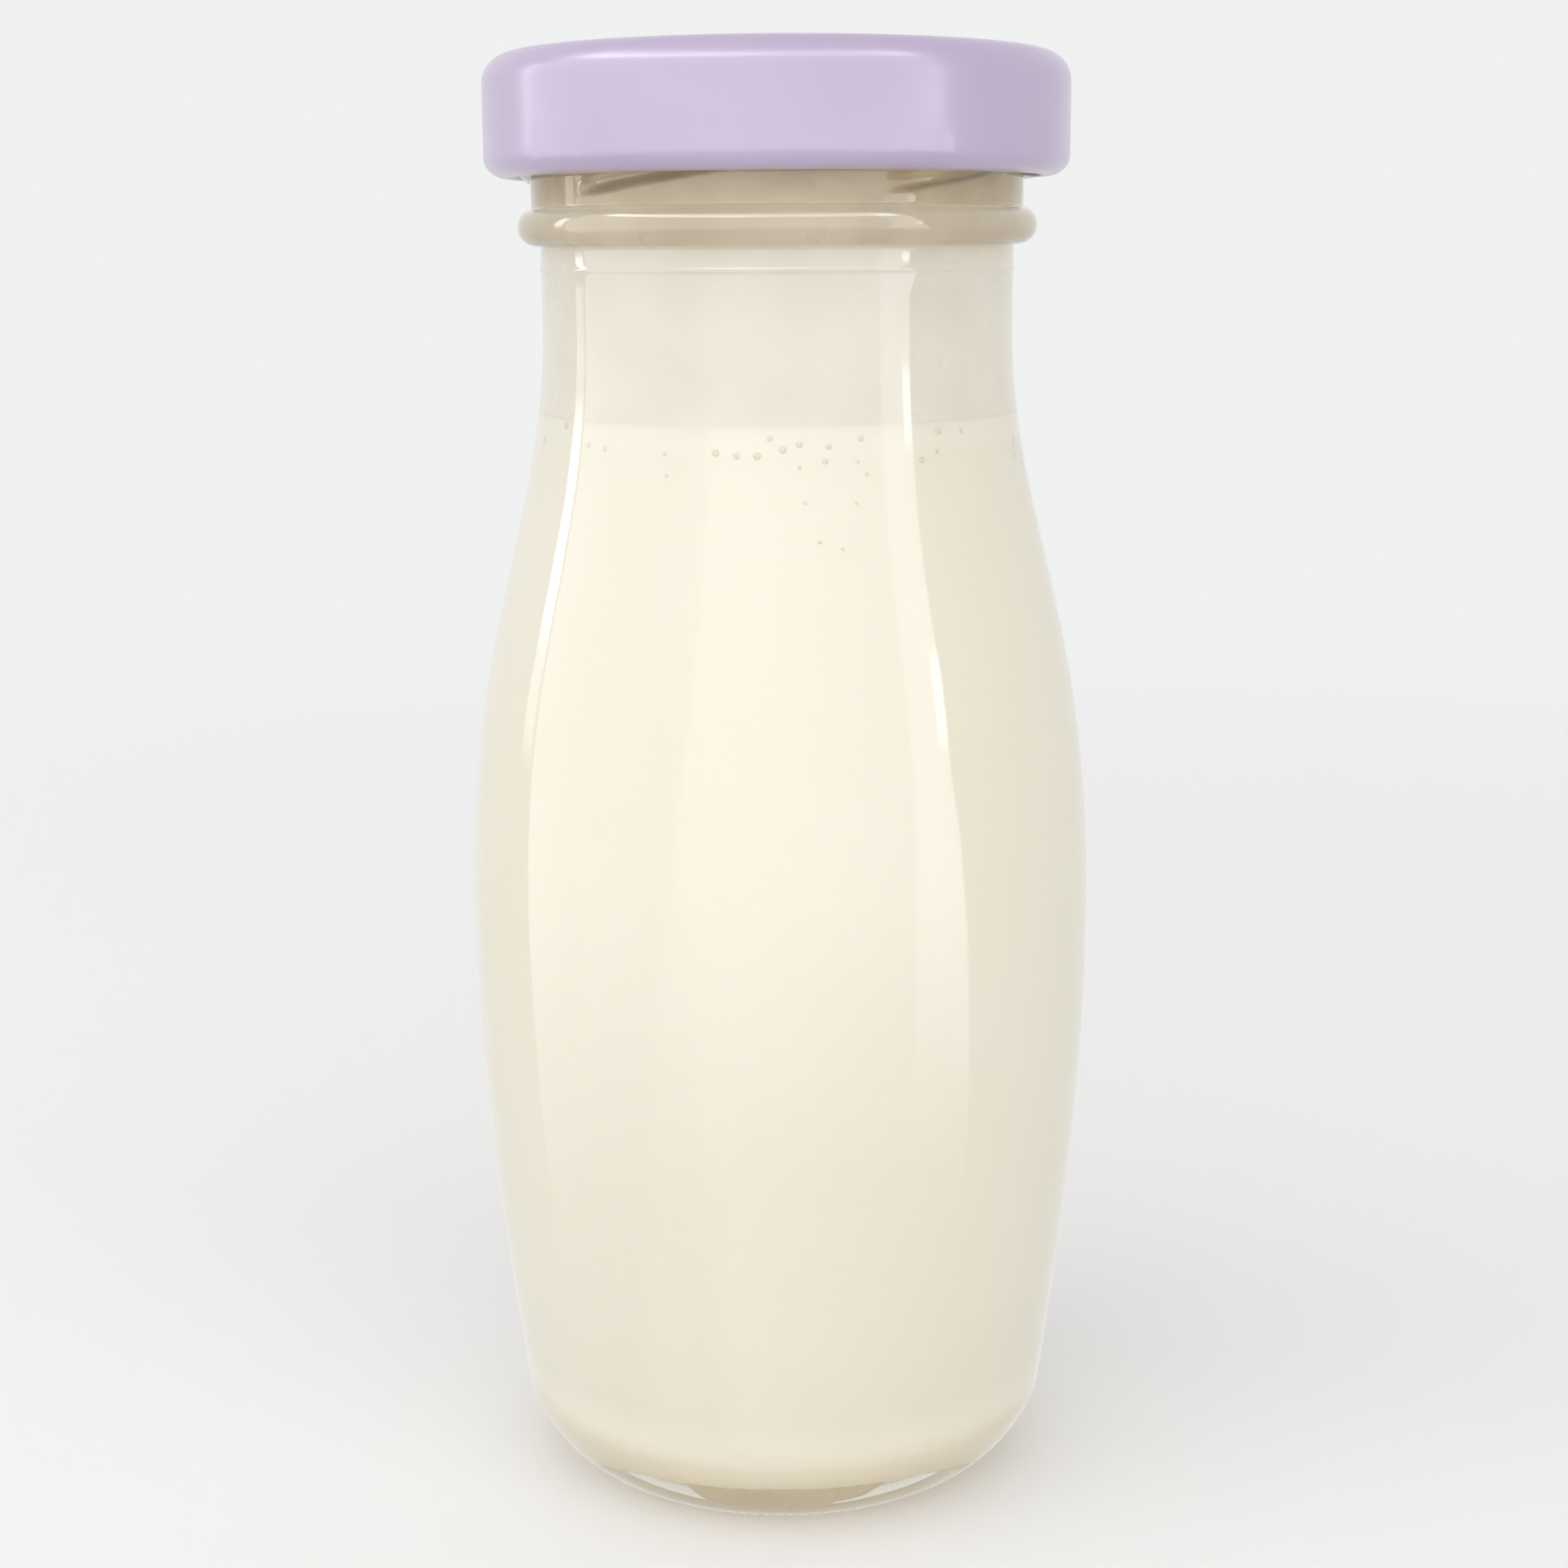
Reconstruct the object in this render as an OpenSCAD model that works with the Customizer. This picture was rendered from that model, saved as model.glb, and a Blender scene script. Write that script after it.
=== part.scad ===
// Small glass milk bottle with a pressed metal twist-off lug cap.
// Millimetres, +Z up, origin on the bottle's axis at the bearing surface of the base.
// The cap is shown closed. The front of the bottle faces -Y.

/* [Base] */
// Outer radius of the flat ring that the bottle stands on
bearing_r = 18.3; // [16:0.1:19.5]
// Width of that ring
bearing_w = 3.0; // [2:0.1:5]
// How far the ring stands below the heel
stand_h = 0.5; // [0.3:0.1:1]
// How far the heel stands out from the ring
stand_step = 0.3; // [0.2:0.1:1]
// Height of the push-up in the middle of the base
push_up_h = 2.6; // [1:0.1:3.5]
// How far the heel runs out flat before it turns up
heel_flat = 1.8; // [1:0.1:3]

/* [Body] */
// Radius where the heel meets the side
heel_r = 24.0; // [22.5:0.1:26]
// Height where the heel meets the side
heel_h = 6.9; // [5:0.1:10]
// How much the side leans outwards there, in mm per mm of height
heel_lean = 0.14; // [0.05:0.01:0.25]
// Largest radius of the body
belly_r = 27.8; // [26:0.1:32]
// Height of the largest radius
belly_h = 52; // [45:0.5:60]
// Reach of the curve below the belly
belly_drop = 15.7; // [8:0.1:20]
// Reach of the curve above the belly
belly_rise = 26.1; // [15:0.1:30]
// Reach of the shoulder's curve below the neck
shoulder_drop = 16.2; // [10:0.1:20]
// Thickness of the glass wall
wall_t = 2.4; // [1.8:0.1:3]
// Thickness of the glass in the middle of the base
floor_t = 3.4; // [2.5:0.1:5]
// Width of the rounded corner between the inside floor and the side
inner_corner_r = 8; // [6:0.5:10]
// How far above the heel that corner ends
inner_corner_lift = 1.9; // [1:0.1:3]

/* [Neck] */
// Outside diameter of the neck
neck_d = 41; // [38:0.5:44]
// Height where the shoulder becomes the neck
neck_h = 103.4; // [98:0.1:110]
// Length of the straight neck, up to the bead
neck_len = 7; // [5:0.1:12]
// How far below the bead the mould's parting line lies
parting_drop = 1.9; // [1.2:0.1:3]
// How far the parting line stands out
parting_out = 0.15; // [0.05:0.05:0.4]
// Height of the transfer bead
bead_h = 3.2; // [2.4:0.1:4]
// How far the bead stands out from the finish wall
bead_out = 1.2; // [0.6:0.1:1.6]

/* [Finish] */
// How far the finish wall stands out from the neck
finish_step = 0.8; // [0.3:0.1:1.5]
// Height of the finish, from the bead to the rim
finish_h = 11.8; // [11:0.1:14]
// Rounding of the rim's two edges
rim_round = 0.7; // [0.3:0.1:1]
// Number of thread ridges, and of lugs on the cap
starts = 5; // [4:1:6]
// Rise of a thread ridge in one full turn
lead = 20; // [17:0.5:24]
// Angle that one ridge covers
ridge_span = 100; // [70:5:110]
// How far a ridge stands out from the finish wall
ridge_out = 1.0; // [0.8:0.05:1.3]
// Height of a ridge at its root
ridge_root = 1.5; // [1.2:0.05:1.8]
// Height of a ridge at its crest
ridge_crest = 0.8; // [0.5:0.05:1.1]

/* [Lug cap] */
// Thickness of the lacquered sheet
sheet_t = 0.3; // [0.2:0.05:0.4]
// Width of the rolled curl at the bottom of the skirt
curl_w = 2.6; // [2.3:0.1:3]
// Height of the curl's outer rounding
curl_h = 1.7; // [1.5:0.1:2.2]
// Radius of the curl's inner rounding
curl_in_round = 0.6; // [0.5:0.05:0.75]
// Gap between the bead and the bottom of the cap
skirt_gap = 2.6; // [2:0.1:3.5]
// Rounding between the skirt and the top of the cap
corner_round = 2.5; // [1.5:0.1:3.5]
// Depth of the sunk panel in the top
panel_depth = 0.6; // [0.3:0.1:0.8]
// Radius of the step around the sunk panel
panel_r = 16.4; // [14:0.1:17]
// Width of that step
panel_step_w = 1.2; // [0.8:0.1:2]
// Radius of the raised button in the middle of the panel
button_r = 9; // [6:0.5:12]
// Height of the button above the panel
button_h = 0.4; // [0.2:0.1:0.6]
// Angle that one lug covers
lug_angle = 14; // [10:1:16]
// Thickness of a lug
lug_t = 1.0; // [0.7:0.05:1.1]
// Height of a lug above the bottom of the cap
lug_lift = 0.6; // [0.4:0.05:0.8]
// Depth of the dent that pressing a lug leaves in the skirt
dent_depth = 0.3; // [0.2:0.05:0.6]
// Radius of the round punch that leaves the dent
punch_r = 9; // [7:0.5:12]
// Height of the dent's middle above the bottom of the cap
dent_lift = 0.4; // [0.2:0.05:0.8]
// Direction of the first lug, counted from the front
lug_from_front = -45; // [-60:1:-30]

/* [Sealing ring] */
// Thickness of the sealing ring
ring_t = 0.8; // [0.5:0.1:1.2]
// How far the ring reaches inwards past the mouth's rounded edge
ring_inside = 0.2; // [0:0.1:0.6]

/* [Milk] */
// Height of the milk where it meets the glass
fill_h = 96; // [80:1:110]
// How far the milk climbs the glass at its edge
meniscus = 0.8; // [0.3:0.1:1.5]
// Width of that climb
meniscus_w = 2.6; // [1:0.1:4]
// Thickness of the film of milk left on the wall above
film_t = 0.15; // [0.1:0.05:0.4]
// How far the film stops below the rim
film_below_rim = 1.2; // [0.8:0.1:3]

/* [Clearances] */
// Between the thread ridges and the curl, and the finish wall and the lugs
cap_clear = 0.35; // [0.3:0.05:0.5]
// Between a lug and the ridges above and below it
thread_clear = 0.3; // [0.2:0.05:0.4]
// Between the sealing ring's edge and the cap's skirt
ring_clear = 0.3; // [0.2:0.05:0.5]
// Between the milk and the glass
milk_clear = 0.05; // [0.02:0.01:0.1]

/* [Hidden] */
$fn = 96;
CURVE_STEPS = 14;
SHORT_CURVE_STEPS = 8;
FLAT_CURVE_STEPS = 6;
ARC_STEPS = 7;
RIM_STEPS = 4;

// Reach of the handles that shape the base, outside and inside
push_up_flat = 8;
push_up_toe_in = 3;
push_up_toe_h = 0.9;
heel_reach = 2.4;
stand_chamfer = 0.15;
floor_flat = 6;
floor_foot = 5;
floor_rise = 0.4;
corner_out = 2.2;
corner_reach = 1.8;

// Small sizes of the neck, the ridges and the milk
parting_half = 0.4;
ridge_sink = 0.4;
ridge_end_sink = 0.1;
ridge_past_lug = 5;
film_above_milk = 0.1;
wall_step = 0.5;
meniscus_edge = 0.3;

// Small sizes of the cap and the sealing ring
button_flat = 0.5 * button_r;
button_foot = 0.7 * button_r;
curl_turn = 260;
curl_tail = 0.6;
curl_tail_gap = 0.05;
lug_edge = 0.2;
lug_root = 0.8;
dent_backing_over = 0.3;
dent_backing_slope = 1;
ring_edge_end = 80;

// Outside radii and heights of the glass
neck_r = neck_d / 2;
finish_r = neck_r + finish_step;
bead_r = finish_r + bead_out;
ridge_r = finish_r + ridge_out;
bead_z = neck_h + neck_len;
bead_top = bead_z + bead_h;
rim_z = bead_top + finish_h;

// Inside of the glass
bore_r = neck_r - wall_t;
inner_heel_r = heel_r - wall_t;
inner_heel_h = heel_h + inner_corner_lift;
floor_edge_h = floor_t + floor_rise;
floor_h = floor_t + push_up_h;

// Cap
curl_in_r = ridge_r + cap_clear;
cap_r = curl_in_r + curl_w;
cap_bottom = bead_top + skirt_gap;
cap_top = rim_z + ring_t + sheet_t;
skirt_in_r = cap_r - sheet_t;
lug_in_r = finish_r + cap_clear;
lug_bottom = cap_bottom + lug_lift;
lug_top = lug_bottom + lug_t;
lug_first = lug_from_front - 90;
start_angle = 360 / starts;

// The lug lies under the ridge that starts one space before it, clear of it at its low end
ridge_under_lug = lug_top + thread_clear + ridge_root / 2;
lug_low_end = lug_first - lug_angle / 2;
ridge_tail = lug_first - ridge_past_lug;
ridge_tail_z = ridge_under_lug - lead * (lug_low_end - ridge_tail + start_angle) / 360;

// A point on a cubic curve with two handles
function on_curve(a, b, c, d, t) =
    pow(1 - t, 3) * a + 3 * pow(1 - t, 2) * t * b + 3 * (1 - t) * t * t * c + pow(t, 3) * d;
// The points of that curve, without its last one
function curve(a, b, c, d, n = CURVE_STEPS) = [for (i = [0:n - 1]) on_curve(a, b, c, d, i / n)];
// The points of an elliptical arc, without its last one
function arc(c, rx, rz, from, to, n = ARC_STEPS) =
    [for (i = [0:n - 1]) let(a = from + (to - from) * i / n) c + [rx * cos(a), rz * sin(a)]];
// A list back to front
function back(list) = [for (i = [len(list) - 1:-1:0]) list[i]];
// Unit vector from one point to another
function toward(a, b) = (b - a) / norm(b - a);
// The direction of a path at its point number i
function heading(path, i) =
    toward(path[max(i - 1, 0)], path[min(i + 1, len(path) - 1)]);
// A path moved to its right by a distance, and never past the axis
function to_right(path, d) =
    [for (i = [0:len(path) - 1]) let(h = heading(path, i), p = path[i] + d * [h[1], -h[0]])
        [max(0, p[0]), p[1]]];

// Side wall from the heel to the neck, for the outside (inset 0) or the inside
function side_wall(low_r, low_h, inset) = concat(
    curve([low_r, low_h], [low_r + heel_lean * belly_drop, low_h + belly_drop],
          [belly_r - inset, belly_h - belly_drop], [belly_r - inset, belly_h]),
    curve([belly_r - inset, belly_h], [belly_r - inset, belly_h + belly_rise],
          [neck_r - inset, neck_h - shoulder_drop], [neck_r - inset, neck_h]));

// Outside of the glass, from the middle of the base up to the rim
stand_in_r = bearing_r - bearing_w;
heel_start = [bearing_r + stand_step, stand_h];
glass_outside = concat(
    curve([0, push_up_h], [push_up_flat, push_up_h],
          [stand_in_r - push_up_toe_in, push_up_toe_h], [stand_in_r, 0], FLAT_CURVE_STEPS),
    [[stand_in_r, 0],
     [bearing_r - stand_chamfer, 0],
     [bearing_r, stand_chamfer],
     [bearing_r, stand_h]],
    curve(heel_start, heel_start + [heel_flat, 0],
          [heel_r - heel_lean * heel_reach, heel_h - heel_reach], [heel_r, heel_h],
          SHORT_CURVE_STEPS),
    side_wall(heel_r, heel_h, 0),
    [[neck_r, neck_h],
     [neck_r, bead_z - parting_drop - parting_half],
     [neck_r + parting_out, bead_z - parting_drop],
     [neck_r, bead_z - parting_drop + parting_half]],
    arc([neck_r, bead_z + bead_h / 2], bead_r - neck_r, bead_h / 2, -90, 0),
    arc([finish_r, bead_z + bead_h / 2], bead_r - finish_r, bead_h / 2, 0, 90),
    [[finish_r, bead_top]],
    arc([finish_r - rim_round, rim_z - rim_round], rim_round, rim_round, 0, 90, RIM_STEPS),
    [[finish_r - rim_round, rim_z]]);

// Inside of the glass, from the middle of the floor up to the mouth
floor_edge = [inner_heel_r - inner_corner_r, floor_edge_h];
inner_wall = concat(
    curve(floor_edge, [inner_heel_r - corner_out, floor_edge_h],
          [inner_heel_r - heel_lean * corner_reach, inner_heel_h - corner_reach],
          [inner_heel_r, inner_heel_h], SHORT_CURVE_STEPS),
    side_wall(inner_heel_r, inner_heel_h, wall_t),
    [[bore_r, neck_h]]);
glass_inside = concat(
    curve([0, floor_h], [floor_flat, floor_h], floor_edge - [floor_foot, 0], floor_edge,
          FLAT_CURVE_STEPS),
    inner_wall,
    arc([bore_r + rim_round, rim_z - rim_round], rim_round, rim_round, 180, 90, RIM_STEPS),
    [[bore_r + rim_round, rim_z]]);

// One thread ridge: a section of four corners carried up a helix, sunk to nothing at both ends
RIDGE_STEPS = 20;
ridge_fade = 12;
ridge_root_r = finish_r - ridge_sink;
function ridge_height(a) = min(1, a / ridge_fade, (ridge_span - a) / ridge_fade);
function ridge_section(a) =
    let(z = ridge_tail_z + lead * a / 360,
        rise = sin(90 * max(0, ridge_height(a))),
        out = finish_r - ridge_end_sink + (ridge_out + ridge_end_sink) * rise)
    [[ridge_root_r, z - ridge_root / 2], [out, z - ridge_crest / 2],
     [out, z + ridge_crest / 2], [ridge_root_r, z + ridge_root / 2]];
module thread_ridge() {
    rings = [for (i = [0:RIDGE_STEPS]) let(a = ridge_span * i / RIDGE_STEPS)
        [for (p = ridge_section(a)) [p[0] * cos(a), p[0] * sin(a), p[1]]]];
    points = [for (ring = rings) for (p = ring) p];
    sides = [for (i = [0:RIDGE_STEPS - 1]) for (k = [0:3]) let(n = (k + 1) % 4)
        [4 * i + k, 4 * i + n, 4 * i + 4 + n, 4 * i + 4 + k]];
    last = 4 * RIDGE_STEPS;
    ends = [[3, 2, 1, 0], [last, last + 1, last + 2, last + 3]];
    polyhedron(points, concat(sides, ends), convexity = 4);
}

module glass_bottle() {
    color([0.86, 0.88, 0.84, 0.4]) {
        rotate_extrude() polygon(concat(glass_outside, back(glass_inside)));
        for (i = [0:starts - 1])
            rotate(ridge_tail + i * start_angle) thread_ridge();
    }
}

// Radius of the inside of the glass at a height above the heel
function inner_r(z) = lookup(z, [for (p = concat(inner_wall, [[bore_r, rim_z]])) [p[1], p[0]]]);

module milk() {
    edge_r = inner_r(fill_h) - milk_clear;
    under = concat(
        [for (p = glass_inside) if (p[1] < inner_heel_h) [p[0], p[1] + milk_clear]],
        [for (p = inner_wall) if (p[1] < fill_h - wall_step && p[1] >= inner_heel_h) p - [milk_clear, 0]]);
    surface = curve([edge_r, fill_h], [edge_r - meniscus_edge, fill_h - meniscus],
        [edge_r - meniscus_w / 2, fill_h - meniscus], [edge_r - meniscus_w, fill_h - meniscus],
        FLAT_CURVE_STEPS);
    color([0.95, 0.92, 0.85])
        rotate_extrude() polygon(concat(under, surface, [[0, fill_h - meniscus]]));
}

module milk_film() {
    film_low = fill_h + film_above_milk;
    film_high = rim_z - rim_round - film_below_rim;
    outside = concat(
        [[inner_r(film_low), film_low]],
        [for (p = inner_wall) if (p[1] > film_low + wall_step) p],
        [[bore_r, film_high]]);
    color([0.93, 0.90, 0.83])
        rotate_extrude() polygon(concat(
            [for (p = outside) p - [milk_clear, 0]],
            back([for (p = outside) p - [milk_clear + film_t, 0]])));
}

module sealing_ring() {
    inside = bore_r + rim_round - ring_inside;
    corner = [cap_r - corner_round, cap_top - corner_round];
    edge_round = corner_round - sheet_t - ring_clear;
    low = asin(max(0, min(0.9, (rim_z - corner[1]) / edge_round)));
    color([0.90, 0.88, 0.82])
        rotate_extrude() polygon(concat(
            [[inside, rim_z]],
            arc(corner, edge_round, edge_round, low, ring_edge_end),
            [[corner[0], rim_z + ring_t], [inside, rim_z + ring_t]]));
}

// Outer face of the sheet, from the middle of the top to the end of the curl
cap_panel_z = cap_top - panel_depth;
curl_center_r = curl_in_r + curl_in_round;
cap_curl = concat(
    arc([curl_center_r, cap_bottom + curl_h], cap_r - curl_center_r, curl_h, 0, -90),
    arc([curl_center_r, cap_bottom + curl_in_round], curl_in_round, curl_in_round, -90, -curl_turn),
    [[curl_center_r + curl_tail, cap_bottom + 2 * curl_in_round + curl_tail_gap]]);
cap_face = concat(
    curve([0, cap_panel_z + button_h], [button_flat, cap_panel_z + button_h],
          [button_foot, cap_panel_z], [button_r, cap_panel_z], SHORT_CURVE_STEPS),
    curve([panel_r - panel_step_w / 2, cap_panel_z], [panel_r, cap_panel_z],
          [panel_r, cap_top], [panel_r + panel_step_w / 2, cap_top], SHORT_CURVE_STEPS),
    [[panel_r + panel_step_w / 2, cap_top]],
    arc([cap_r - corner_round, cap_top - corner_round], corner_round, corner_round, 90, 0),
    [[cap_r, cap_top - corner_round]],
    cap_curl);

// One lug: the curl pressed solid, its inner side pushed in under a thread ridge, and the
// sheet behind the dent pushed in with it
dent_top = cap_bottom + dent_lift + sqrt(2 * punch_r * dent_depth) + dent_backing_over;
module lug() {
    sheet_middle = skirt_in_r + sheet_t / 2;
    rotate(-lug_angle / 2) rotate_extrude(angle = lug_angle) {
        polygon(to_right(cap_curl, sheet_t / 2));
        polygon([[curl_center_r + lug_root, lug_bottom], [lug_in_r + lug_edge, lug_bottom],
            [lug_in_r, lug_bottom + lug_edge], [lug_in_r, lug_top - lug_edge],
            [lug_in_r + lug_edge, lug_top], [curl_center_r + lug_root, lug_top]]);
        polygon([[sheet_middle, lug_bottom], [sheet_middle, dent_top],
            [skirt_in_r - dent_depth, dent_top - dent_backing_slope],
            [skirt_in_r - dent_depth, lug_bottom]]);
    }
}

module lug_cap() {
    color([0.80, 0.75, 0.86])
        difference() {
            union() {
                rotate_extrude() polygon(concat(cap_face, back(to_right(cap_face, sheet_t))));
                for (i = [0:starts - 1])
                    rotate(lug_first + i * start_angle) lug();
            }
            for (i = [0:starts - 1])
                rotate(lug_first + i * start_angle)
                    translate([cap_r + punch_r - dent_depth, 0, cap_bottom + dent_lift])
                        sphere(punch_r);
        }
}

glass_bottle();
milk();
milk_film();
sealing_ring();
lug_cap();
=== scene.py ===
# %% [markdown]
# # A small glass milk bottle with a twist-off lug cap
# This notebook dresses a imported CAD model. The frame holds every solid at its real size, and each
# piece made here replaces one of them with a smooth, finely divided surface and a node material.
# Lengths are in metres. The bottle stands on z = 0, its axis is the z axis, and its front faces -y.

# %% Load the frame
import bpy
import numpy as np
from mathutils import Matrix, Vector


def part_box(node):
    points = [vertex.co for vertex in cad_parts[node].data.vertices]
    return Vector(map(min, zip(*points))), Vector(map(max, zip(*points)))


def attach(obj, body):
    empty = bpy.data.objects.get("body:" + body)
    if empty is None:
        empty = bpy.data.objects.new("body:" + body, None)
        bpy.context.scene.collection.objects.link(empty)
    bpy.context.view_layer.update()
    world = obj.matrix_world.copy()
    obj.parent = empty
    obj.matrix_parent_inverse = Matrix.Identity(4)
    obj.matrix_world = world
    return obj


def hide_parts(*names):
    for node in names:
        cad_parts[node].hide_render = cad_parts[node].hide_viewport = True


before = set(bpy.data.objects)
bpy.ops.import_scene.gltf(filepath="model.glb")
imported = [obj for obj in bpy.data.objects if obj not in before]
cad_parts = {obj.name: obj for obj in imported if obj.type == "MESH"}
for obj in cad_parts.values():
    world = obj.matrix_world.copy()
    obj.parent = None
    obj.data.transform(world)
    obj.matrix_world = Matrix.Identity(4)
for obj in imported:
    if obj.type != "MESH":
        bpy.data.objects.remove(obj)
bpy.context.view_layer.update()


# %% [markdown]
# ## Sizes
# The overall sizes are read from the solids, so that the looks follow the frame. What a box can't
# say, such as the reach of a curve or the width of a thread ridge, is a named size here. Names that
# end in _r are radii, in _z and _h heights, in _t thicknesses, and in _w widths.

# %% Sizes read from the frame
MM = 0.001
glass_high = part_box("glass_bottle")[1]
cap_low, cap_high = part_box("lug_cap")
milk_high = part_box("milk")[1]
film_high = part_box("milk_film")[1]
ring_low, ring_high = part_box("sealing_ring")

belly_r = glass_high.x
rim_z = glass_high.z
cap_r = cap_high.x
cap_bottom = cap_low.z
cap_top = cap_high.z
milk_line = milk_high.z
print("belly radius", round(belly_r / MM, 2), "rim height", round(rim_z / MM, 2), "mm")

# %% Sizes of the base and heel
# The ring that the bottle stands on, and the push-up inside it
bearing_r = 18.3 * MM
bearing_w = 3.0 * MM
bearing_edge = 0.15 * MM
stand_h = 0.5 * MM
stand_step = 0.3 * MM
push_up_h = 3.6 * MM
push_up_flat = 8 * MM
push_up_toe_in = 3 * MM
push_up_toe_h = 0.9 * MM
# The heel outside, and how much it leans where the side starts
heel_flat = 1.8 * MM
heel_r = 24.0 * MM
heel_h = 6.9 * MM
heel_reach = 2.4 * MM
heel_lean = 0.14
# The floor inside, and its rounded corner
floor_t = 3.3 * MM
floor_rise = 0.95 * MM
floor_flat = 6 * MM
floor_foot = 5 * MM
inner_corner_r = 8 * MM
inner_corner_lift = 1.9 * MM
corner_out = 2.2 * MM
corner_reach = 1.8 * MM
print("stands on a ring", round(bearing_w / MM, 2), "mm wide")

# %% Sizes of the side, neck and finish
belly_h = 52 * MM
belly_drop = 15.7 * MM
belly_rise = 26.1 * MM
shoulder_drop = 16.2 * MM
wall_t = 2.4 * MM
neck_r = 20.5 * MM
neck_h = 103.4 * MM
parting_z = 108.5 * MM
parting_out = 0.15 * MM
parting_half = 0.45 * MM
parting_crest = 0.15 * MM
bead_z = 110.4 * MM
bead_h = 3.2 * MM
bead_r = 22.5 * MM
bead_foot = 0.4 * MM
finish_r = 21.3 * MM
rim_round = 0.7 * MM
bore_r = neck_r - wall_t
bead_top = bead_z + bead_h
print("mouth", round(2 * bore_r / MM, 1), "mm across")

# %% [markdown]
# ## Curves and turned surfaces
# Glassware is turned: one outline carried round the axis. An outline is an array of (radius,
# height) rows, put together from cubic curves and arcs. The surface is a grid, with the outline
# along one side and the angle along the other, so any detail that varies round the bottle is
# simply added to the grid's radii or heights before the mesh is made.


# %% Outline helpers
def cubic(start, leave, arrive, end, steps):
    """Points (1-t)^3 start + 3(1-t)^2 t leave + 3(1-t) t^2 arrive + t^3 end, for t from 0 up to 1."""
    t = np.linspace(0, 1, steps, endpoint=False)[:, None]
    start, leave, arrive, end = (np.array(p, float) for p in (start, leave, arrive, end))
    return ((1 - t) ** 3 * start + 3 * (1 - t) ** 2 * t * leave
            + 3 * (1 - t) * t ** 2 * arrive + t ** 3 * end)


def arc(center, radius, height, start, stop, steps):
    """Points center + (radius cos a, height sin a), for a from start up to stop in degrees."""
    a = np.radians(np.linspace(start, stop, steps, endpoint=False))
    return np.stack([center[0] + radius * np.cos(a), center[1] + height * np.sin(a)], 1)


def straight(start, end, steps):
    """Points evenly spaced from start up to, but without, end."""
    t = np.linspace(0, 1, steps, endpoint=False)[:, None]
    return np.array(start, float) * (1 - t) + np.array(end, float) * t


def beside(outline, distance):
    """An outline moved to its left by a distance, along the normals of its own slope."""
    slope = np.gradient(outline, axis=0)
    slope /= np.linalg.norm(slope, axis=1)[:, None]
    moved = outline + distance * np.stack([-slope[:, 1], slope[:, 0]], 1)
    moved[:, 0] = np.maximum(moved[:, 0], 0)
    return moved


def ease(x):
    """A smooth step from 0 to 1: 3x^2 - 2x^3, with x held between 0 and 1."""
    x = np.clip(x, 0, 1)
    return x * x * (3 - 2 * x)


# %% Mesh from arrays
def mesh_piece(name, points, quads, triangles):
    """A smooth-shaded object from arrays of points, four-cornered and three-cornered faces."""
    corners = np.concatenate([quads.ravel(), triangles.ravel()])
    sizes = np.concatenate([np.full(len(quads), 4), np.full(len(triangles), 3)])
    mesh = bpy.data.meshes.new(name)
    mesh.vertices.add(len(points))
    mesh.vertices.foreach_set("co", points.astype(np.float32).ravel())
    mesh.loops.add(len(corners))
    mesh.loops.foreach_set("vertex_index", corners.astype(np.int32))
    mesh.polygons.add(len(sizes))
    mesh.polygons.foreach_set("loop_start", (np.cumsum(sizes) - sizes).astype(np.int32))
    mesh.polygons.foreach_set("use_smooth", np.ones(len(sizes), bool))
    mesh.update(calc_edges=True)
    mesh.validate()
    piece = bpy.data.objects.new(name, mesh)
    bpy.context.scene.collection.objects.link(piece)
    print(name, len(points), "points,", len(sizes), "faces")
    return piece


# %% Turned mesh
def turned(name, radius, height, closed=False):
    """A mesh from two grids, radius and height, with a row for each outline point and a column for
    each angle. The point in column j is (r cos a, r sin a, z) with a = 2 pi j / columns. An open
    outline starts and ends on the axis, where its row becomes one point; a closed one is a loop."""
    rows, columns = radius.shape
    angle = 2 * np.pi * np.arange(columns) / columns
    grid = np.stack([radius * np.cos(angle), radius * np.sin(angle), height], 2)
    index = np.arange(rows * columns).reshape(rows, columns)
    if closed:
        points = grid.reshape(-1, 3)
        lower, upper = index, np.roll(index, -1, 0)
        fans = np.zeros((0, 3), int)
    else:
        index -= columns - 1
        middle, last = grid[1:-1].reshape(-1, 3), (rows - 2) * columns + 1
        points = np.vstack([grid[0].mean(0), middle, grid[-1].mean(0)])
        lower, upper = index[1:-2], index[2:-1]
        first_ring, last_ring = index[1], index[-2]
        fans = np.vstack([
            np.stack([np.zeros(columns, int), np.roll(first_ring, -1), first_ring], 1),
            np.stack([np.full(columns, last), last_ring, np.roll(last_ring, -1)], 1)])
    quads = np.stack([lower, np.roll(lower, -1, 1), np.roll(upper, -1, 1), upper], 2).reshape(-1, 4)
    return mesh_piece(name, points, quads, fans)


def carry_mask(piece, name, grid):
    """Stores a grid of values from 0 to 1 on an open turned mesh, one for each of its points."""
    mask = piece.data.attributes.new(name, "FLOAT", "POINT")
    values = np.concatenate([grid[0, :1], grid[1:-1].ravel(), grid[-1, :1]])
    mask.data.foreach_set("value", values.astype(np.float32))


def all_round(outline, columns):
    """Repeats an outline's radii and heights in every column of a grid."""
    return (np.repeat(outline[:, :1], columns, 1), np.repeat(outline[:, 1:], columns, 1))

# %% [markdown]
# ## The glass
# The bottle is blown in a mould, so its outside is one smooth line from heel to neck, and its
# inside follows at the wall's thickness. Above the neck lie a bead, by which the machine carries
# the hot bottle, and the finish with its slanting ridges. A real mould also leaves traces: a
# parting line round the neck, two fine seams down the sides, and a stippled ring to stand on.

# %% Outline of the outside
BELLY_STEPS = 22
bead_mid = bead_z + bead_h / 2


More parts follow.
